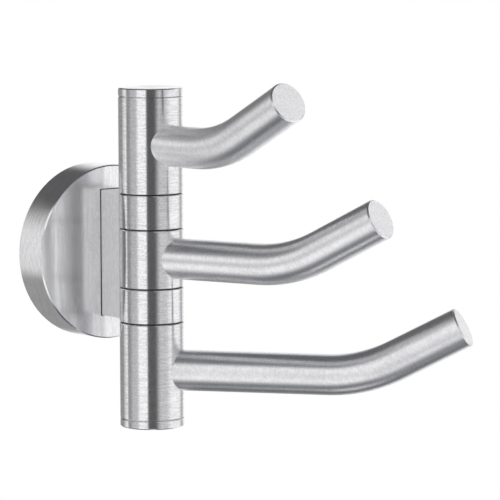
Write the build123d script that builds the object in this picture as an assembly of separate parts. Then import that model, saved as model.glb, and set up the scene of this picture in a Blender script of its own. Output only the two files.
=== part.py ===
from build123d import *
from math import cos, radians, sin, tan
import os

# Swivel triple hook in brushed stainless steel: a round rosette on a wall plate, a bracket with two knuckles,
# and three bent bars that turn one above the other about an upright spindle.
# Millimetres. The origin is the centre of the wall face, +Y points into the wall and +Z up.

# Rosette, a turned cup, and the plate that it hides
ROSETTE_D = 52.0
ROSETTE_DEPTH = 11.5
ROSETTE_WALL = 3.0
ROSETTE_FACE = 3.0
ROSETTE_EDGE = 0.35
PLATE_GAP = 0.3
GROOVE_DEPTH = 1.0
WALL_HOLE_D = 5.0
WALL_HOLE_HEAD_D = 9.6
WALL_HOLE_SPACING = 28.0

# Grub screw under the rosette
GRUB_D = 4.0
GRUB_KEY = 2.0
GRUB_KEY_DEPTH = 1.2
GRUB_RECESS = 0.3
GRUB_TIP_GAP = 0.1

# Bracket: a flat web with a knuckle at each end
AXIS_OUT = 30.9
WEB_W = 8.2
KNUCKLE_H = 9.9
COLLAR_RELIEF = 0.6
BRACKET_SCREW_D = 4.0
BRACKET_SCREW_GRIP = 8.0
BRACKET_SCREW_SPARE = 1.0
BRACKET_HEAD_D = 7.6
BRACKET_HEAD_H = 2.2
BRACKET_HEAD_ROUND = 1.5
BRACKET_KEY = 2.5
BRACKET_KEY_DEPTH = 1.3
HEAD_CLEARANCE = 1.3

# Barrel: collars, knuckles and caps of one diameter
BARREL_D = 19.0
MIDDLE_COLLAR_H = 17.0
END_COLLAR_H = 28.2
EDGE_BREAK = 0.2
CAP_T = 2.6
CAP_EDGE = 0.3
PLUG_D = 15.0
PLUG_H = 2.6

# Spindle and what turns on it
SPINDLE_D = 8.0
SPINDLE_THREAD_D = 6.0
SPINDLE_END_EDGE = 0.5
SPINDLE_SHORT = 0.5
THREAD_OUT = 0.8
CAP_CLEARANCE = 0.6
BUSH_WALL = 1.5
WASHER_D = 17.8
WASHER_T = 0.4
SPRING_D = 13.0
SPRING_T = 0.7
SPRING_CONE = 0.3
NUT_WIDTH = 10.0
NUT_H = 3.2
NUT_BEVEL = 30.0

# Hook bars
BAR_D = 12.0
BAR_EDGE = 0.4
SPIGOT_D = 8.0
BEND_R = 44.0
TIP_ANGLE = 27.5
TIP_LENGTH = 22.0
REACH = {"top": 61.0, "middle": 77.0, "bottom": 93.0}
REST_ANGLE = {"top": 2.0, "middle": 20.0, "bottom": 38.0}

# Fits, each on the radius
SEAT = 0.02
RUNNING = 0.05
THREAD_PLAY = 0.05
HOLE_PLAY = 0.15

# How far a cutting tool runs past the face that it opens
OVERRUN = 1.0

# Rosette and plate, worked out
rosette_bore_r = ROSETTE_D / 2 - ROSETTE_WALL
cavity_depth = ROSETTE_DEPTH - ROSETTE_FACE
plate_t = cavity_depth - BRACKET_HEAD_H - HEAD_CLEARANCE
plate_r = rosette_bore_r - PLATE_GAP
head_sink = (WALL_HOLE_HEAD_D - WALL_HOLE_D) / 2
bush_r = SPINDLE_D / 2 + BUSH_WALL

# Heights above the middle of the barrel, worked out
knuckle_in = MIDDLE_COLLAR_H / 2 + WASHER_T
knuckle_out = knuckle_in + KNUCKLE_H
knuckle_mid = (knuckle_in + knuckle_out) / 2
collar_in = knuckle_out + WASHER_T
collar_out = collar_in + END_COLLAR_H
spring_h = SPRING_T + SPRING_CONE
pocket_depth = spring_h + NUT_H + THREAD_OUT + CAP_CLEARANCE + PLUG_H
pocket_floor = collar_out - pocket_depth
BAR_HEIGHT = {
    "top": collar_in + END_COLLAR_H / 2,
    "middle": 0.0,
    "bottom": -collar_in - END_COLLAR_H / 2,
}


def turned(points):
    """A solid of revolution about the Z axis, from points of radius and height."""
    return revolve(Plane.XZ * Polygon(*points, align=None), Axis.Z)


def bar_along_z(radius, low, high):
    """A plain round solid on the Z axis."""
    return Pos(0, 0, (low + high) / 2) * Cylinder(radius, high - low)


def barrel_blank(low, high):
    """A length of the barrel's round bar on the Z axis, with its edges broken."""
    blank = bar_along_z(BARREL_D / 2, low, high)
    return chamfer(blank.edges().filter_by(GeomType.CIRCLE), EDGE_BREAK)


def sleeve(outer_r, inner_r, low, height):
    """A plain ring on the spindle's axis."""
    return on_spindle(bar_along_z(outer_r, low, low + height) - bar_along_z(inner_r, low, low + height))


def on_spindle(shape):
    """Moves a solid from the Z axis to the spindle's axis."""
    return Pos(0, -AXIS_OUT, 0) * shape


def out_of_wall(shape):
    """Turns a solid built on +Z so that it points out of the wall, along -Y."""
    return Rot(X=90) * shape


def rosette():
    """A cup open to the wall, bored for the bracket screws and, underneath, for the grub screw."""
    r = ROSETTE_D / 2
    cup = turned([
        (0, cavity_depth),
        (rosette_bore_r, cavity_depth),
        (rosette_bore_r, 0),
        (r - ROSETTE_EDGE, 0),
        (r, ROSETTE_EDGE),
        (r, ROSETTE_DEPTH - ROSETTE_EDGE),
        (r - ROSETTE_EDGE, ROSETTE_DEPTH),
        (0, ROSETTE_DEPTH),
    ])
    cup = out_of_wall(cup)
    for z in (knuckle_mid, -knuckle_mid):
        hole = out_of_wall(bar_along_z(BRACKET_SCREW_D / 2 + HOLE_PLAY, 0, ROSETTE_DEPTH + OVERRUN))
        cup -= Pos(0, 0, z) * hole
    grub_hole = bar_along_z(GRUB_D / 2 + THREAD_PLAY, -r - OVERRUN, -plate_r)
    return cup - Pos(0, -plate_t / 2, 0) * grub_hole


def wall_plate():
    """A disc with a V groove round its rim and two countersunk holes for the wall screws."""
    mid = plate_t / 2
    disc = out_of_wall(turned([
        (0, 0),
        (plate_r, 0),
        (plate_r, mid - GROOVE_DEPTH),
        (plate_r - GROOVE_DEPTH, mid),
        (plate_r, mid + GROOVE_DEPTH),
        (plate_r, plate_t),
        (0, plate_t),
    ]))
    hole_r = WALL_HOLE_D / 2
    screw_hole = out_of_wall(turned([
        (0, -OVERRUN),
        (hole_r, -OVERRUN),
        (hole_r, plate_t - head_sink),
        (hole_r + head_sink, plate_t),
        (hole_r + head_sink, plate_t + OVERRUN),
        (0, plate_t + OVERRUN),
    ]))
    for side in (1, -1):
        disc -= Pos(side * WALL_HOLE_SPACING / 2, 0, 0) * screw_hole
    return disc


def rosette_grub_screw():
    """A cone-point screw that holds the rosette to the plate's groove from below."""
    tip = plate_r - GROOVE_DEPTH + GRUB_TIP_GAP
    end = ROSETTE_D / 2 - GRUB_RECESS
    r = GRUB_D / 2
    screw = turned([(0, -tip), (r, -tip - r), (r, -end), (0, -end)])
    key = Pos(0, 0, -end) * extrude(RegularPolygon(GRUB_KEY / 2, 6, major_radius=False), GRUB_KEY_DEPTH)
    return Pos(0, -plate_t / 2, 0) * (screw - key)


def bracket():
    """Web and knuckles in one casting, hollowed between the knuckles for the middle collar."""
    web = Box(WEB_W, AXIS_OUT - ROSETTE_DEPTH, 2 * knuckle_out)
    web = chamfer(web.edges().filter_by(Axis.Y), EDGE_BREAK)
    body = Pos(0, -(AXIS_OUT + ROSETTE_DEPTH) / 2, 0) * web
    for low in (knuckle_in, -knuckle_out):
        body += on_spindle(barrel_blank(low, low + KNUCKLE_H))
    body -= on_spindle(bar_along_z(BARREL_D / 2 + COLLAR_RELIEF, -knuckle_in, knuckle_in))
    body -= on_spindle(bar_along_z(SPINDLE_D / 2 + SEAT, -knuckle_out - OVERRUN, knuckle_out + OVERRUN))
    depth = BRACKET_SCREW_GRIP + BRACKET_SCREW_SPARE
    tapping = out_of_wall(bar_along_z(BRACKET_SCREW_D / 2 + THREAD_PLAY, 0, ROSETTE_DEPTH + depth))
    for z in (knuckle_mid, -knuckle_mid):
        body -= Pos(0, 0, z) * tapping
    return body


def bracket_screw(z):
    """A button-head socket screw from inside the cup, through its face into a knuckle."""
    head_r = BRACKET_HEAD_D / 2
    low = cavity_depth - BRACKET_HEAD_H
    dome = bar_along_z(head_r, low, cavity_depth)
    dome = fillet(dome.edges().sort_by(Axis.Z)[0], BRACKET_HEAD_ROUND)
    shank = bar_along_z(BRACKET_SCREW_D / 2, cavity_depth, ROSETTE_DEPTH + BRACKET_SCREW_GRIP)
    hexagon = RegularPolygon(BRACKET_KEY / 2, 6, major_radius=False)
    key = Pos(0, 0, low) * extrude(hexagon, BRACKET_KEY_DEPTH)
    return Pos(0, 0, z) * out_of_wall(dome + shank - key)


def spindle():
    """A rod with a reduced, threaded end at the top and the bottom."""
    shoulder = pocket_floor - SPINDLE_SHORT
    end = pocket_floor + spring_h + NUT_H + THREAD_OUT
    rod = bar_along_z(SPINDLE_D / 2, -shoulder, shoulder)
    thread = bar_along_z(SPINDLE_THREAD_D / 2, -end, end)
    thread = chamfer(thread.edges().filter_by(GeomType.CIRCLE), SPINDLE_END_EDGE)
    return on_spindle(rod + thread)


def collar(name, low, high):
    """A collar on the barrel, bored for its bush and, across its wall, for its bar's spigot."""
    body = barrel_blank(low, high) - bar_along_z(bush_r + SEAT, low, high)
    pocket = bar_along_z(PLUG_D / 2, pocket_floor, collar_out)
    body -= [pocket, underneath(pocket)]
    across = bar_along_z(SPIGOT_D / 2 + SEAT, 0, BARREL_D)
    body -= turned_out(name, Rot(Y=90) * across)
    return on_spindle(body)


def bush(low, length):
    """A plain sleeve bush that turns on the spindle."""
    return sleeve(bush_r, SPINDLE_D / 2 + RUNNING, low, length)


def thrust_washer(low):
    """A thin washer between a collar and a knuckle, a little smaller than the barrel."""
    return sleeve(WASHER_D / 2, SPINDLE_D / 2 + RUNNING, low, WASHER_T)


def disc_spring():
    """A coned spring washer whose rim bears on the collar and whose crown bears on the nut."""
    bore_r = SPINDLE_THREAD_D / 2 + HOLE_PLAY
    rim_r = SPRING_D / 2
    return on_spindle(turned([
        (bore_r, pocket_floor + SPRING_CONE),
        (rim_r, pocket_floor),
        (rim_r, pocket_floor + SPRING_T),
        (bore_r, pocket_floor + spring_h),
    ]))


def nut():
    """A thin hexagon nut with its corners turned off."""
    low = pocket_floor + spring_h
    high = low + NUT_H
    half = NUT_WIDTH / 2
    hexagon = Pos(0, 0, low) * extrude(RegularPolygon(half, 6, major_radius=False), NUT_H)
    corner_r = half / cos(radians(30))
    drop = (corner_r - half) * tan(radians(NUT_BEVEL))
    blank = turned([
        (0, low),
        (half, low),
        (corner_r, low + drop),
        (corner_r, high - drop),
        (half, high),
        (0, high),
    ])
    bore = bar_along_z(SPINDLE_THREAD_D / 2 + THREAD_PLAY, low - OVERRUN, high + OVERRUN)
    return on_spindle((hexagon & blank) - bore)


def cap():
    """A flat cap with a plug that presses into the collar's pocket."""
    r = BARREL_D / 2
    plug_r = PLUG_D / 2 - SEAT
    return on_spindle(turned([
        (0, collar_out - PLUG_H),
        (plug_r - EDGE_BREAK, collar_out - PLUG_H),
        (plug_r, collar_out - PLUG_H + EDGE_BREAK),
        (plug_r, collar_out),
        (r - CAP_EDGE, collar_out),
        (r, collar_out + CAP_EDGE),
        (r, collar_out + CAP_T - CAP_EDGE),
        (r - CAP_EDGE, collar_out + CAP_T),
        (0, collar_out + CAP_T),
    ]))


def turned_out(name, shape):
    """Turns a solid that reaches along +X to its hook's direction, at its hook's height."""
    return Pos(0, 0, BAR_HEIGHT[name]) * Rot(Z=REST_ANGLE[name] - 90) * shape


def hook_bar(name):
    """A round bar: straight out, bent up, cut square, with its root coped and spigoted into its collar."""
    bend_reach = BEND_R * sin(radians(TIP_ANGLE))
    straight = REACH[name] - bend_reach - TIP_LENGTH * cos(radians(TIP_ANGLE))
    root = BARREL_D / 4
    with BuildLine(Plane.XZ) as centre_line:
        run = Line((root, 0), (straight, 0))
        bend = JernArc(run @ 1, run % 1, BEND_R, TIP_ANGLE)
        PolarLine(bend @ 1, TIP_LENGTH, TIP_ANGLE)
    section = Plane(origin=(root, 0, 0), z_dir=(1, 0, 0)) * Circle(BAR_D / 2)
    bar = sweep(section, path=centre_line.line)
    end_face = bar.faces().filter_by(GeomType.PLANE).sort_by(Axis.X)[-1]
    bar = chamfer(end_face.edges(), BAR_EDGE)
    bar -= bar_along_z(BARREL_D / 2 + SEAT, -BAR_D, BAR_D)
    spigot = Rot(Y=90) * bar_along_z(SPIGOT_D / 2, bush_r + RUNNING, BARREL_D / 2 + BAR_D / 4)
    return on_spindle(turned_out(name, bar + spigot))


def underneath(shape):
    """The same piece at the other end of the barrel."""
    return mirror(shape, about=Plane.XY)


pieces = {
    "rosette": rosette(),
    "wall_plate": wall_plate(),
    "rosette_grub_screw": rosette_grub_screw(),
    "bracket": bracket(),
    "upper_bracket_screw": bracket_screw(knuckle_mid),
    "lower_bracket_screw": bracket_screw(-knuckle_mid),
    "spindle": spindle(),
    "top_collar": collar("top", collar_in, collar_out),
    "middle_collar": collar("middle", -MIDDLE_COLLAR_H / 2, MIDDLE_COLLAR_H / 2),
    "bottom_collar": collar("bottom", -collar_out, -collar_in),
    "top_bush": bush(collar_in, pocket_floor - collar_in),
    "middle_bush": bush(-MIDDLE_COLLAR_H / 2, MIDDLE_COLLAR_H),
    "bottom_bush": bush(-pocket_floor, pocket_floor - collar_in),
    "top_collar_washer": thrust_washer(knuckle_out),
    "upper_knuckle_washer": thrust_washer(MIDDLE_COLLAR_H / 2),
    "lower_knuckle_washer": thrust_washer(-knuckle_in),
    "bottom_collar_washer": thrust_washer(-collar_in),
    "top_disc_spring": disc_spring(),
    "bottom_disc_spring": underneath(disc_spring()),
    "top_nut": nut(),
    "bottom_nut": underneath(nut()),
    "top_cap": cap(),
    "bottom_cap": underneath(cap()),
    "top_hook": hook_bar("top"),
    "middle_hook": hook_bar("middle"),
    "bottom_hook": hook_bar("bottom"),
}

os.makedirs("parts", exist_ok=True)
for name, piece in pieces.items():
    export_step(piece, f"parts/{name}.step")
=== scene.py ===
import math

import bpy
from mathutils import Matrix, Vector


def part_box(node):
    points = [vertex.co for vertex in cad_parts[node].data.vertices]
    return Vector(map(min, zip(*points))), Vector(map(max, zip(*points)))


# Swivel triple hook in brushed stainless steel, in metres. The wall is at y = 0 and the bars reach to -Y.

MM = 0.001

# Camera, where the photograph was taken from: a long lens, to the left of the hook and a little above it.
# It looks past the barrel's middle, to the right and above, by these shares of its distance.
LENS_MM = 230.4
SENSOR_MM = 36.0
CAMERA_YAW = -38.84
CAMERA_PITCH = -6.315
CAMERA_ROLL = -0.18
CAMERA_DISTANCE = 0.9415
AIM_RIGHT = 0.0308
AIM_UP = 0.0022

# The bars: each one's collar, how far it is turned from square to the wall, and its reach from the spindle
BARS = {
    "top_hook": ("top_collar", math.radians(2.0), 61.0 * MM),
    "middle_hook": ("middle_collar", math.radians(20.0), 77.0 * MM),
    "bottom_hook": ("bottom_collar", math.radians(38.0), 93.0 * MM),
}
BAR_BEND = 44.0 * MM
TIP_ANGLE = math.radians(27.5)
TIP_LENGTH = 22.0 * MM

# Where the bracket's web begins and stands on the rosette, and the painted shade that darkens the joints: a
# line round the web on the rosette, a band where the web meets the barrel, and the grooves between the
# barrel's pieces
WEB_HALF = 4.1 * MM
WEB_ROOT = -21.3 * MM
WEB_BEHIND_AXIS = 8.0 * MM
WEB_BLEND = 1.0 * MM
JOINT_SHADE_WIDTH = 0.35 * MM
JOINT_SHADE_CORE = 0.4 * JOINT_SHADE_WIDTH
BARREL_SHADE_WIDTH = 0.9 * MM
BARREL_SHADE_STRENGTH = 0.8
CAP_MIDDLE = 48.7 * MM
CAP_BLEND = 0.2 * MM

# How squarely a surface faces one way before it counts as a joint face with painted shade, as the rosette's
# face or as a sawn end
JOINT_FACING = (0.75, 0.9)
FACE_FACING = (0.85, 0.95)
SAWN_FACING = (0.95, 0.98)

# Brushing: how many scratches a metre holds across them and along them, and how deep they look
TURNED_PITCH = 3400.0
FLAT_PITCH = 2300.0
BAR_PITCH = 2600.0
PLAIN_PITCH = 1800.0
TURNED_RUN = 280.0
RIM_RUN = 320.0
FACE_RUN = 120.0
WEB_RUN = 620.0
BAR_RUN = 1100.0
PLAIN_RUN = 300.0
TURNED_DEPTH = 0.2
SATIN_DEPTH = 0.18
PLAIN_DEPTH = 0.08
RELIEF = 0.02 * MM

# How coarse middle and broad scratches are beside the fine ones, and how much each kind counts
MIDDLE_PITCH = 0.55
BROAD_PITCH = 0.13
FINE_SHARE = 0.5
MIDDLE_SHARE = 0.42
BROAD_SHARE = 0.08
LINE_CONTRAST = (0.37, 0.63)

# What darkens and dulls the steel: its scratches, a fine cloudiness and patches that hands have left
SCRATCH_DARKENS = 0.5
CLOUD_DARKENS = 0.35
DULL_DARKENS = 0.15
DULL_ROUGHENS = 0.06
CLOUDS_PER_METRE = 2200.0
CLOUD_CONTRAST = (0.32, 0.68)
PATCHES_PER_METRE = 55.0
PATCH_CONTRAST = (0.42, 0.72)
LITTLE_HANDLED = 0.5
HANDLED = 0.6
NEVER_POLISHED = 1.0

# How matt each finish is, and how much more so in its scratches
TURNED_ROUGHNESS = 0.155
RIM_ROUGHNESS = 0.16
FACE_ROUGHNESS = 0.18
WEB_ROUGHNESS = 0.32
BAR_ROUGHNESS = 0.33
SAWN_ROUGHNESS = 0.30
PLAIN_ROUGHNESS = 0.3
SCREW_ROUGHNESS = 0.22
TURNED_ROUGHER = 0.06
FACE_ROUGHER = 0.05
BAR_ROUGHER = 0.04
PLAIN_ROUGHER = 0.12

# Flat brushed faces and sawn ends scatter light as well as mirror it, so they are less than fully metallic
FACE_METAL = 0.9
WEB_METAL = 0.55
SAWN_METAL = 0.65

# How far the scratches stretch the gloss, and the quarter turn that lays it across a turned piece
TURNED_STRETCH = 0.65
FACE_STRETCH = 0.5
BAR_STRETCH = 0.4
ACROSS = 0.25

# Colours
STEEL = (0.985, 0.985, 1.0, 1)
STEEL_LINE = (0.66, 0.66, 0.68, 1)
SATIN = (0.99, 0.99, 1.0, 1)
SATIN_LINE = (0.78, 0.78, 0.80, 1)
# Painted shade: the near-black laid over the steel in the joints and grooves
SHADE_PAINT = (0.03, 0.03, 0.032, 1)
PLAIN_STEEL = (0.50, 0.50, 0.51, 1)
PLAIN_STEEL_LINE = (0.38, 0.38, 0.39, 1)
SCREW_STEEL = (0.56, 0.56, 0.57, 1)
BLACK_PLASTIC = (0.018, 0.018, 0.019, 1)
BLACK_PLASTIC_SPECK = (0.028, 0.028, 0.029, 1)
SPECKS_PER_METRE = 2500.0
SPECK_DEPTH = 0.1
SPECK_CONTRAST = (0.3, 0.7)
PLASTIC_ROUGHNESS = (0.42, 0.55)
WHITE = (1, 1, 1, 1)

# Floor, far below a hook on a wall: its own colour, and what lifts it to white where the background shows
FLOOR_DROP = 1.5
FLOOR_SIZE = 0.45
FLOOR_COLOUR = (0.62, 0.62, 0.61, 1)
FLOOR_LIFT = (0.55, 0.55, 0.55, 1)

# Lamps: place in metres and power in watts
LAMPS = {
    "key_lamp": ((-0.9, -0.9, 0.8), 12),
    "fill_lamp": ((0.9, -0.7, 0.3), 6),
}
LAMP_SIZE = 0.8

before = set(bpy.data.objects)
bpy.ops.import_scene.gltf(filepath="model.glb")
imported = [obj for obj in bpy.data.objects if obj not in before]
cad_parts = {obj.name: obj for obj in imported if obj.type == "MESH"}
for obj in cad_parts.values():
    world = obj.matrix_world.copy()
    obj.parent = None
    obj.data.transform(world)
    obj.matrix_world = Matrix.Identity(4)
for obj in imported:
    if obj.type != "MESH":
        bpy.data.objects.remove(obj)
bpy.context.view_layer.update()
bpy.ops.object.select_all(action="DESELECT")

rosette_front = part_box("rosette")[0][1]
bracket_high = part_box("bracket")[1]
collar_low, collar_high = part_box("middle_collar")
barrel_axis = ((collar_low[0] + collar_high[0]) / 2, (collar_low[1] + collar_high[1]) / 2)


class Nodes:
    """Builds one node tree: each call adds a node, links or sets its inputs and gives the node back."""

    def __init__(self, tree):
        self.tree = tree

    def add(self, kind, settings=None, **inputs):
        node = self.tree.nodes.new(kind)
        for name, value in (settings or {}).items():
            setattr(node, name, value)
        for name, value in inputs.items():
            self.put(node.inputs[name.replace("_", " ")], value)
        return node

    def put(self, socket, value):
        if isinstance(value, bpy.types.NodeSocket):
            self.tree.links.new(value, socket)
        else:
            socket.default_value = value

    def math(self, operation, *values):
        node = self.tree.nodes.new("ShaderNodeMath")
        node.operation = operation
        for socket, value in zip(node.inputs, values):
            self.put(socket, value)
        return node.outputs[0]

    def ramp(self, value, low, high, to_low=0.0, to_high=1.0):
        """A smooth step between two values."""
        node = self.add("ShaderNodeMapRange", {"interpolation_type": "SMOOTHSTEP"}, Value=value)
        for name, number in (("From Min", low), ("From Max", high), ("To Min", to_low), ("To Max", to_high)):
            self.put(node.inputs[name], number)
        return node.outputs["Result"]

    def between(self, factor, start, end):
        """A number that goes from start to end as the factor goes from 0 to 1."""
        return self.math("MULTIPLY_ADD", factor, end - start, start)

    def mix(self, factor, a, b):
        """A colour that goes from a to b as the factor goes from 0 to 1."""
        node = self.tree.nodes.new("ShaderNodeMix")
        node.data_type = "RGBA"
        self.put(node.inputs[0], factor)
        self.put(node.inputs[6], a)
        self.put(node.inputs[7], b)
        return node.outputs[2]

    def mix_vector(self, factor, a, b):
        """A direction or place that goes from a to b as the factor goes from 0 to 1."""
        node = self.add("ShaderNodeMix", {"data_type": "VECTOR"})
        self.put(node.inputs[0], factor)
        self.put(node.inputs[4], a)
        self.put(node.inputs[5], b)
        return node.outputs[1]

    def dot(self, a, b):
        """How far one vector reaches along another."""
        node = self.add("ShaderNodeVectorMath", {"operation": "DOT_PRODUCT"})
        self.put(node.inputs[0], a)
        self.put(node.inputs[1], b)
        return node.outputs["Value"]


def new_group(name, inputs, outputs):
    """An empty shader group with named sockets, its builder, and its input and output nodes."""
    tree = bpy.data.node_groups.new(name, "ShaderNodeTree")
    for label, kind, value in inputs:
        socket = tree.interface.new_socket(name=label, in_out="INPUT", socket_type=kind)
        if value is not None:
            socket.default_value = value
    for label, kind in outputs:
        tree.interface.new_socket(name=label, in_out="OUTPUT", socket_type=kind)
    build = Nodes(tree)
    return tree, build, build.add("NodeGroupInput").outputs, build.add("NodeGroupOutput")


def brushed_grain_group():
    """Fine scratches that run along one way: a vector whose X crosses them, in metres, goes in."""
    tree, n, given, out = new_group(
        "brushed_grain",
        [
            ("Vector", "NodeSocketVector", None),
            ("Pitch", "NodeSocketFloat", 3000.0),
            ("Run", "NodeSocketFloat", 60.0),
            ("Depth", "NodeSocketFloat", 0.1),
        ],
        [("Line", "NodeSocketFloat"), ("Cloud", "NodeSocketFloat"), ("Normal", "NodeSocketVector")],
    )
    split = n.add("ShaderNodeSeparateXYZ", Vector=given["Vector"])
    across = n.math("MULTIPLY", split.outputs[0], given["Pitch"])
    along_y = n.math("MULTIPLY", split.outputs[1], given["Run"])
    along_z = n.math("MULTIPLY", split.outputs[2], given["Run"])
    fine_place = n.add("ShaderNodeCombineXYZ", X=across, Y=along_y, Z=along_z)
    fine = n.add("ShaderNodeTexNoise", Vector=fine_place.outputs[0], Scale=1.0, Detail=3.0, Roughness=0.6)
    middle_across = n.math("MULTIPLY", across, MIDDLE_PITCH)
    middle_place = n.add("ShaderNodeCombineXYZ", X=middle_across, Y=along_y, Z=along_z)
    middle = n.add("ShaderNodeTexNoise", Vector=middle_place.outputs[0], Scale=1.0, Detail=1.0)
    broad_across = n.math("MULTIPLY", across, BROAD_PITCH)
    broad_place = n.add("ShaderNodeCombineXYZ", X=broad_across, Y=along_y, Z=along_z)
    broad = n.add("ShaderNodeTexNoise", Vector=broad_place.outputs[0], Scale=0.8, Detail=2.0)
    both = n.math("MULTIPLY", fine.outputs[0], FINE_SHARE)
    both = n.math("ADD", both, n.math("MULTIPLY", middle.outputs[0], MIDDLE_SHARE))
    both = n.math("ADD", both, n.math("MULTIPLY", broad.outputs[0], BROAD_SHARE))
    n.put(out.inputs["Line"], n.ramp(both, *LINE_CONTRAST))
    cloud = n.add("ShaderNodeTexNoise", Vector=given["Vector"], Scale=CLOUDS_PER_METRE, Detail=1.0)
    n.put(out.inputs["Cloud"], n.ramp(cloud.outputs[0], *CLOUD_CONTRAST))
    bump = n.add("ShaderNodeBump", Strength=given["Depth"], Distance=RELIEF, Height=both)
    n.put(out.inputs["Normal"], bump.outputs[0])
    return tree


def bar_run_group():
    """Places along a bent bar: X is the distance along its centre line, Y and Z lie across it."""
    tree, n, given, out = new_group(
        "bar_run",
        [
            ("Vector", "NodeSocketVector", None),
            ("Turned", "NodeSocketFloat", 0.0),
            ("Height", "NodeSocketFloat", 0.0),
            ("Straight", "NodeSocketFloat", 0.03),
            ("Bend", "NodeSocketFloat", BAR_BEND),
            ("Tip angle", "NodeSocketFloat", TIP_ANGLE),
            ("Axis out", "NodeSocketFloat", 0.03),
        ],
        [("Vector", "NodeSocketVector")],
    )
    split = n.add("ShaderNodeSeparateXYZ", Vector=given["Vector"])
    sine = n.math("SINE", given["Turned"])
    cosine = n.math("COSINE", given["Turned"])
    from_axis = n.math("ADD", split.outputs[1], given["Axis out"])
    out_x = n.math("MULTIPLY", split.outputs[0], sine)
    reach = n.math("SUBTRACT", out_x, n.math("MULTIPLY", from_axis, cosine))
    aside = n.math("ADD", n.math("MULTIPLY", split.outputs[0], cosine), n.math("MULTIPLY", from_axis, sine))
    rise = n.math("SUBTRACT", split.outputs[2], given["Height"])
    past = n.math("SUBTRACT", reach, given["Straight"])
    to_centre = n.math("SUBTRACT", given["Bend"], rise)
    angle = n.math("ARCTAN2", past, to_centre)
    angle = n.math("MINIMUM", n.math("MAXIMUM", angle, 0.0), given["Tip angle"])
    before = n.math("MINIMUM", past, 0.0)
    end_sine = n.math("SINE", given["Tip angle"])
    end_cosine = n.math("COSINE", given["Tip angle"])
    end_reach = n.math("SUBTRACT", past, n.math("MULTIPLY", given["Bend"], end_sine))
    bend_rise = n.math("MULTIPLY", given["Bend"], n.math("SUBTRACT", 1.0, end_cosine))
    end_rise = n.math("SUBTRACT", rise, bend_rise)
    after = n.math("ADD", n.math("MULTIPLY", end_reach, end_cosine), n.math("MULTIPLY", end_rise, end_sine))
    after = n.math("MAXIMUM", after, 0.0)
    along = n.math("ADD", n.math("ADD", before, after), n.math("MULTIPLY", given["Bend"], angle))
    place = n.add("ShaderNodeCombineXYZ", X=along, Y=aside, Z=rise)
    n.put(out.inputs["Vector"], place.outputs[0])
    return tree


def handling_group():
    """Where hands and cloths have left the steel a little duller."""
    tree, n, given, out = new_group(
        "handling", [("Vector", "NodeSocketVector", None), ("Amount", "NodeSocketFloat", 0.5)],
        [("Dull", "NodeSocketFloat")],
    )
    patch = n.add(
        "ShaderNodeTexNoise", Vector=given["Vector"], Scale=PATCHES_PER_METRE, Detail=4.0, Roughness=0.62,
    )
    n.put(out.inputs["Dull"], n.math("MULTIPLY", n.ramp(patch.outputs[0], *PATCH_CONTRAST), given["Amount"]))
    return tree


brushed_grain = brushed_grain_group()
bar_run = bar_run_group()
handling = handling_group()


def new_material(name):
    """A material with an empty tree, its builder and its output node."""
    material = bpy.data.materials.new(name)
    material.use_nodes = True
    material.node_tree.nodes.clear()
    build = Nodes(material.node_tree)
    return material, build, build.add("ShaderNodeOutputMaterial")


def group_node(n, tree, **inputs):
    """A group placed in a material with its own values."""
    node = n.tree.nodes.new("ShaderNodeGroup")
    node.node_tree = tree
    for name, value in inputs.items():
        n.put(node.inputs[name.replace("_", " ")], value)
    return node


def finish_steel(
    n, output, grain, dull, roughness, rougher, stretch=0.0, turn=0.0, metal=1.0, along=None,
    light=STEEL, line=STEEL_LINE, painted_shade=None,
):
    """Steel whose scratches darken it a little, whose dull patches scatter more and which takes painted shade
    where a mask is given.
    """
    tone = n.math("MULTIPLY", grain.outputs["Line"], SCRATCH_DARKENS)
    tone = n.math("ADD", tone, n.math("MULTIPLY", grain.outputs["Cloud"], CLOUD_DARKENS))
    tone = n.math("ADD", tone, n.math("MULTIPLY", dull, DULL_DARKENS))
    colour = n.mix(tone, light, line)
    # Painted shade: where the mask is 1 the colour goes to near-black
    if painted_shade:
        colour = n.mix(painted_shade, colour, SHADE_PAINT)
    rough = n.math("ADD", n.math("MULTIPLY", grain.outputs["Line"], rougher), roughness)
    rough = n.math("ADD", rough, n.math("MULTIPLY", dull, DULL_ROUGHENS))
    shader = n.add(
        "ShaderNodeBsdfPrincipled", Base_Color=colour, Roughness=rough, Metallic=metal,
        Normal=grain.outputs["Normal"], Anisotropic=stretch, Anisotropic_Rotation=turn,
    )
    if along:
        n.put(shader.inputs["Tangent"], along)
    n.put(output.inputs["Surface"], shader.outputs[0])


def swap_axes(n, vector, order):
    """The same place with its axes in another order, so that X crosses the scratches."""
    split = n.add("ShaderNodeSeparateXYZ", Vector=vector)
    picked = [split.outputs["XYZ".index(letter)] for letter in order]
    return n.add("ShaderNodeCombineXYZ", X=picked[0], Y=picked[1], Z=picked[2]).outputs[0]


def painted_groove_shade(n, where):
    """Painted shade on the flat ends of the barrel's pieces, in the grooves where they meet; the outer ends
    of the caps stay bright.
    """
    level = n.math("ABSOLUTE", n.add("ShaderNodeSeparateXYZ", Vector=where.outputs["Normal"]).outputs[2])
    height = n.math("ABSOLUTE", n.add("ShaderNodeSeparateXYZ", Vector=where.outputs["Object"]).outputs[2])
    within_caps = n.ramp(height, CAP_MIDDLE + CAP_BLEND, CAP_MIDDLE)
    return n.math("MULTIPLY", n.ramp(level, *JOINT_FACING), within_caps)


def turned_steel():
    """Collars and caps: brushed round and round on the lathe."""
    material, n, output = new_material("turned_steel")
    where = n.add("ShaderNodeTexCoord")
    place = where.outputs["Object"]
    grain = group_node(
        n, brushed_grain, Vector=swap_axes(n, place, "ZXY"), Pitch=TURNED_PITCH, Run=TURNED_RUN,
        Depth=TURNED_DEPTH,
    )
    dull = group_node(n, handling, Vector=place, Amount=LITTLE_HANDLED).outputs[0]
    # Painted shade in the grooves between the barrel's pieces
    finish_steel(
        n, output, grain, dull, TURNED_ROUGHNESS, TURNED_ROUGHER, stretch=TURNED_STRETCH, turn=ACROSS,
        painted_shade=painted_groove_shade(n, where),
    )
    return material


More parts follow.
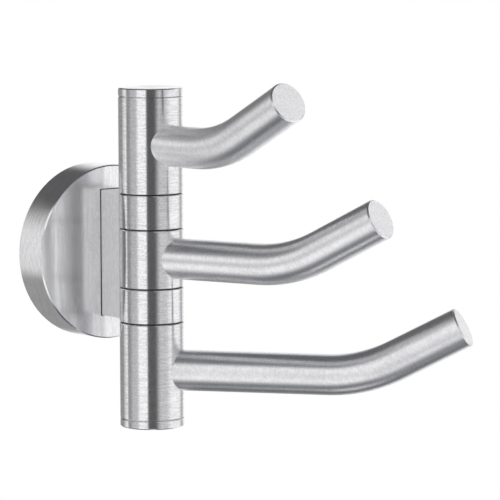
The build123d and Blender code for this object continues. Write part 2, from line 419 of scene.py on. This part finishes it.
def bar_steel(name, turned, height, straight):
    """A hook bar: brushed round its section all the way along its bend, with a matt sawn end."""
    material, n, output = new_material(name)
    where = n.add("ShaderNodeTexCoord")
    place = where.outputs["Object"]
    run = group_node(
        n, bar_run, Vector=place, Turned=turned, Height=height, Straight=straight, Bend=BAR_BEND,
        Tip_angle=TIP_ANGLE, Axis_out=-barrel_axis[1],
    ).outputs[0]
    out_way = Vector((math.sin(turned), -math.cos(turned), 0))
    end_way = out_way * math.cos(TIP_ANGLE)
    end_way.z = math.sin(TIP_ANGLE)
    on_end = n.ramp(n.dot(where.outputs["Normal"], end_way), *SAWN_FACING)
    lines = n.mix_vector(on_end, run, swap_axes(n, run, "ZXY"))
    grain = group_node(n, brushed_grain, Vector=lines, Pitch=BAR_PITCH, Run=BAR_RUN, Depth=SATIN_DEPTH)
    dull = group_node(n, handling, Vector=place, Amount=HANDLED).outputs[0]
    bend_start = straight - barrel_axis[1] * math.cos(turned)
    bend_end = bend_start + BAR_BEND * math.sin(TIP_ANGLE)
    bent = n.ramp(n.dot(place, out_way), bend_start, bend_end)
    along = n.add("ShaderNodeVectorTransform", {"convert_from": "OBJECT", "convert_to": "WORLD"})
    n.put(along.inputs[0], n.mix_vector(bent, out_way, end_way))
    finish_steel(
        n, output, grain, dull, n.between(on_end, BAR_ROUGHNESS, SAWN_ROUGHNESS), BAR_ROUGHER,
        stretch=BAR_STRETCH, metal=n.between(on_end, 1.0, SAWN_METAL), along=along.outputs[0],
        light=SATIN, line=SATIN_LINE,
    )
    return material


def rosette_steel():
    """The rosette: its face brushed straight up and down, its rim brushed round."""
    material, n, output = new_material("rosette_steel")
    where = n.add("ShaderNodeTexCoord")
    place = where.outputs["Object"]
    facing = n.math("ABSOLUTE", n.add("ShaderNodeSeparateXYZ", Vector=where.outputs["Normal"]).outputs[1])
    on_face = n.ramp(facing, *FACE_FACING)
    grain = group_node(
        n, brushed_grain, Vector=n.mix_vector(on_face, swap_axes(n, place, "YXZ"), place),
        Pitch=n.between(on_face, TURNED_PITCH, FLAT_PITCH), Run=n.between(on_face, RIM_RUN, FACE_RUN),
        Depth=SATIN_DEPTH,
    )
    dull = group_node(n, handling, Vector=place, Amount=HANDLED).outputs[0]
    # Painted shade: a dark line on the rosette's face round the foot of the web
    across, _, height = n.add("ShaderNodeSeparateXYZ", Vector=place).outputs
    beside = n.math("SUBTRACT", n.math("ABSOLUTE", across), WEB_HALF)
    beyond = n.math("SUBTRACT", n.math("ABSOLUTE", height), bracket_high[2])
    shade_round_web = n.ramp(n.math("MAXIMUM", beside, beyond), JOINT_SHADE_WIDTH, JOINT_SHADE_CORE)
    finish_steel(
        n, output, grain, dull, n.between(on_face, RIM_ROUGHNESS, FACE_ROUGHNESS), FACE_ROUGHER,
        stretch=FACE_STRETCH, turn=n.between(on_face, 0.0, ACROSS), metal=n.between(on_face, 1.0, FACE_METAL),
        light=SATIN, line=SATIN_LINE, painted_shade=n.math("MULTIPLY", shade_round_web, on_face),
    )
    return material


def bracket_steel():
    """The bracket: its web brushed up and down, its knuckles to match the barrel."""
    material, n, output = new_material("bracket_steel")
    where = n.add("ShaderNodeTexCoord")
    place = where.outputs["Object"]
    behind = n.add("ShaderNodeSeparateXYZ", Vector=place).outputs[1]
    web_start = barrel_axis[1] + WEB_BEHIND_AXIS
    on_web = n.ramp(behind, web_start, web_start + WEB_BLEND)
    grain = group_node(
        n, brushed_grain, Vector=n.mix_vector(on_web, swap_axes(n, place, "ZXY"), swap_axes(n, place, "YXZ")),
        Pitch=n.between(on_web, TURNED_PITCH, FLAT_PITCH), Run=n.between(on_web, TURNED_RUN, WEB_RUN),
        Depth=TURNED_DEPTH,
    )
    dull = group_node(n, handling, Vector=place, Amount=LITTLE_HANDLED).outputs[0]
    # Painted shade: a dark line where the web stands on the rosette
    shade_at_rosette = n.ramp(behind, rosette_front - JOINT_SHADE_WIDTH, rosette_front - JOINT_SHADE_CORE)
    # Painted shade: a soft dark band on the web where it runs into the barrel
    shade_at_barrel = n.ramp(behind, WEB_ROOT + BARREL_SHADE_WIDTH, WEB_ROOT)
    shade_at_barrel = n.math("MULTIPLY", shade_at_barrel, n.math("MULTIPLY", on_web, BARREL_SHADE_STRENGTH))
    # Painted shade in the grooves between the knuckles and the collars
    groove_shade_painted = n.math("MULTIPLY", painted_groove_shade(n, where), n.math("SUBTRACT", 1.0, on_web))
    finish_steel(
        n, output, grain, dull, n.between(on_web, TURNED_ROUGHNESS, WEB_ROUGHNESS), TURNED_ROUGHER,
        stretch=TURNED_STRETCH, turn=n.between(on_web, ACROSS, 0.0), metal=n.between(on_web, 1.0, WEB_METAL),
        light=n.mix(on_web, STEEL, SATIN), line=n.mix(on_web, STEEL_LINE, SATIN_LINE),
        painted_shade=n.math("MAXIMUM", n.math("MAXIMUM", shade_at_rosette, shade_at_barrel), groove_shade_painted),
    )
    return material


def plain_steel(name, light, line, roughness):
    """Hidden steel, turned and left plain."""
    material, n, output = new_material(name)
    place = n.add("ShaderNodeTexCoord").outputs["Object"]
    grain = group_node(
        n, brushed_grain, Vector=swap_axes(n, place, "YXZ"), Pitch=PLAIN_PITCH, Run=PLAIN_RUN,
        Depth=PLAIN_DEPTH,
    )
    dull = group_node(n, handling, Vector=place, Amount=NEVER_POLISHED).outputs[0]
    finish_steel(n, output, grain, dull, roughness, PLAIN_ROUGHER, light=light, line=line)
    return material


def black_acetal():
    """Moulded black plastic of the bushes and washers."""
    material, n, output = new_material("black_acetal")
    place = n.add("ShaderNodeTexCoord").outputs["Object"]
    speckle = n.add("ShaderNodeTexNoise", Vector=place, Scale=SPECKS_PER_METRE, Detail=2.0)
    rough = n.ramp(speckle.outputs[0], *SPECK_CONTRAST, *PLASTIC_ROUGHNESS)
    bump = n.add("ShaderNodeBump", Strength=SPECK_DEPTH, Distance=RELIEF, Height=speckle.outputs[0])
    colour = n.mix(speckle.outputs[0], BLACK_PLASTIC, BLACK_PLASTIC_SPECK)
    shader = n.add("ShaderNodeBsdfPrincipled", Base_Color=colour, Roughness=rough, Normal=bump.outputs[0])
    n.put(output.inputs["Surface"], shader.outputs[0])
    return material


def dress(node_name, material):
    """Gives a frame piece its finish."""
    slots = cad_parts[node_name].data.materials
    slots.clear()
    slots.append(material)


def dress_all():
    """Every piece of the frame in its own finish."""
    barrel_steel = turned_steel()
    for name in ("top_collar", "middle_collar", "bottom_collar", "top_cap", "bottom_cap"):
        dress(name, barrel_steel)
    dress("rosette", rosette_steel())
    dress("bracket", bracket_steel())
    bent_reach = BAR_BEND * math.sin(TIP_ANGLE) + TIP_LENGTH * math.cos(TIP_ANGLE)
    for name, (collar, turned, reach) in BARS.items():
        low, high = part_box(collar)
        dress(name, bar_steel(f"{name}_steel", turned, (low[2] + high[2]) / 2, reach - bent_reach))
    plain = plain_steel("plain_steel", PLAIN_STEEL, PLAIN_STEEL_LINE, PLAIN_ROUGHNESS)
    for name in ("wall_plate", "spindle", "top_disc_spring", "bottom_disc_spring"):
        dress(name, plain)
    screw = plain_steel("screw_steel", SCREW_STEEL, PLAIN_STEEL, SCREW_ROUGHNESS)
    for name in ("rosette_grub_screw", "upper_bracket_screw", "lower_bracket_screw", "top_nut", "bottom_nut"):
        dress(name, screw)
    acetal = black_acetal()
    for name in (
        "top_bush", "middle_bush", "bottom_bush", "top_collar_washer", "upper_knuckle_washer",
        "lower_knuckle_washer", "bottom_collar_washer",
    ):
        dress(name, acetal)


# The studio that the steel mirrors is white all round, like the background, and these cards stand in it.
# Azimuth 0 lies straight before the wall and the camera stands at -39. Each card gives, in degrees, its left
# and right edge, how soft each is, its foot and head, and then its brightness. A later card covers an
# earlier one.
STUDIO_CARDS = {
    "grey card on the left": ((-133, -87), (4, 6), (-15, 5), 0.46),
    "darker card behind it": ((-134, -116), (4, 8), (-15, 5), 0.24),
    "high dark card on the left": ((-160, -100), (8, 8), (24, 90), 0.05),
    "pale card right of the camera": ((-45, 26), (8, 14), (-25, 20), 0.60),
    "black card round the camera": ((-53, -15), (1.5, 11), (-25, 20), 0.08),
    "grey card on the right": ((84, 104), (12, 10), (-25, 12), 0.42),
    "high pale card on the right": ((20, 132), (10, 10), (4, 60), 0.60),
    "pale card at the back": ((-165, -142), (6, 6), (-20, 90), 0.70),
    "low dark card by the wall": ((136, 225), (6, 6), (-90, -19), 0.30),
    "dark card by the wall": ((155, 204), (6, 4), (-90, 10), 0.31),
    "darker card above it": ((149, 206), (6, 6), (12, 90), 0.10),
}
CARD_END_SOFT = 5
# The elevations over which the cards give way to the dark ceiling above and the dark ground below
CEILING = (34, 46)
CEILING_COLOUR = (0.10, 0.102, 0.11, 1)
GROUND = (-38, -60)
GROUND_COLOUR = (0.10, 0.105, 0.12, 1)
# The light that matt surfaces get from all sides
ROOM_LIGHT = (0.7, 0.7, 0.7, 1)


def studio_card(n, azimuth, elevation, edges, softness, reach):
    """Where one card stands, 1 on the card and 0 beside it."""
    middle = (edges[0] + edges[1]) / 2
    half = (edges[1] - edges[0]) / 2
    aside = n.math("WRAP", n.math("SUBTRACT", azimuth, middle), 180.0, -180.0)
    right_of_left_edge = n.ramp(aside, -half - softness[0], -half + softness[0])
    left_of_right_edge = n.ramp(aside, half + softness[1], half - softness[1])
    over_foot = n.ramp(elevation, reach[0] - CARD_END_SOFT, reach[0] + CARD_END_SOFT)
    under_head = n.ramp(elevation, reach[1] + CARD_END_SOFT, reach[1] - CARD_END_SOFT)
    across = n.math("MULTIPLY", right_of_left_edge, left_of_right_edge)
    return n.math("MULTIPLY", across, n.math("MULTIPLY", over_foot, under_head))


def seen_rays(n):
    """1 for the rays that show the background: the camera's own, and those mirrored or let through."""
    ray = n.add("ShaderNodeLightPath").outputs
    through = n.math("MAXIMUM", ray["Is Glossy Ray"], ray["Is Transmission Ray"])
    return n.math("MAXIMUM", ray["Is Camera Ray"], through)


def studio_world():
    """A white background. The steel mirrors it with the cards in it, the dark ceiling and the dark ground."""
    world = bpy.data.worlds.new("studio")
    bpy.context.scene.world = world
    world.use_nodes = True
    world.node_tree.nodes.clear()
    n = Nodes(world.node_tree)
    direction = n.add("ShaderNodeTexCoord").outputs["Generated"]
    to_right, to_wall, up = n.add("ShaderNodeSeparateXYZ", Vector=direction).outputs
    azimuth = n.math("DEGREES", n.math("ARCTAN2", to_right, n.math("MULTIPLY", to_wall, -1.0)))
    elevation = n.math("DEGREES", n.math("ARCSINE", up))
    mirrored = WHITE
    for edges, softness, reach, bright in STUDIO_CARDS.values():
        on_card = studio_card(n, azimuth, elevation, edges, softness, reach)
        mirrored = n.mix(on_card, mirrored, (bright, bright, bright, 1))
    mirrored = n.mix(n.ramp(elevation, *CEILING), mirrored, CEILING_COLOUR)
    mirrored = n.mix(n.ramp(elevation, *GROUND), mirrored, GROUND_COLOUR)
    shown = n.mix(n.add("ShaderNodeLightPath").outputs["Is Glossy Ray"], WHITE, mirrored)
    colour = n.mix(seen_rays(n), ROOM_LIGHT, shown)
    background = n.add("ShaderNodeBackground", Color=colour, Strength=1.0)
    n.add("ShaderNodeOutputWorld", Surface=background.outputs[0])


def floor():
    """A plain pale floor that keeps shadows, at the distance of a floor under a hook on a wall."""
    bpy.ops.mesh.primitive_plane_add(size=FLOOR_SIZE, location=(0, barrel_axis[1], -FLOOR_DROP))
    plane = bpy.context.active_object
    plane.name = "floor"
    material, n, output = new_material("floor_pale")
    matt = n.add("ShaderNodeBsdfDiffuse", Color=FLOOR_COLOUR)
    lift = n.add("ShaderNodeEmission", Color=FLOOR_LIFT, Strength=seen_rays(n))
    both = n.tree.nodes.new("ShaderNodeAddShader")
    n.put(both.inputs[0], matt.outputs[0])
    n.put(both.inputs[1], lift.outputs[0])
    n.put(output.inputs["Surface"], both.outputs[0])
    plane.data.materials.append(material)


def lamp(name, place, watts):
    """A soft square lamp that faces the barrel. It lights what is matt, and the steel doesn't mirror it."""
    bpy.ops.object.light_add(type="AREA", location=place)
    light = bpy.context.active_object
    light.name = name
    light.data.size = LAMP_SIZE
    light.data.energy = watts
    towards = Vector((barrel_axis[0], barrel_axis[1], 0)) - Vector(place)
    light.rotation_euler = towards.to_track_quat("-Z", "Y").to_euler()
    light.visible_glossy = False


def camera():
    """The camera of the photograph."""
    bpy.ops.object.camera_add()
    eye = bpy.context.active_object
    eye.data.lens = LENS_MM
    eye.data.sensor_width = SENSOR_MM
    turn = Matrix.Rotation(math.radians(CAMERA_YAW), 4, "Z")
    turn = turn @ Matrix.Rotation(math.radians(90 + CAMERA_PITCH), 4, "X")
    turn = turn @ Matrix.Rotation(math.radians(CAMERA_ROLL), 4, "Z")
    right, up, back = (turn.to_3x3() @ Vector(axis) for axis in ((1, 0, 0), (0, 1, 0), (0, 0, 1)))
    aimed = Vector((barrel_axis[0], barrel_axis[1], 0))
    place = aimed + CAMERA_DISTANCE * (back + AIM_RIGHT * right + AIM_UP * up)
    eye.matrix_world = Matrix.Translation(place) @ turn
    bpy.context.scene.camera = eye


dress_all()
studio_world()
floor()
for lamp_name, (lamp_place, lamp_watts) in LAMPS.items():
    lamp(lamp_name, lamp_place, lamp_watts)
camera()
bpy.context.scene.view_settings.view_transform = "Standard"
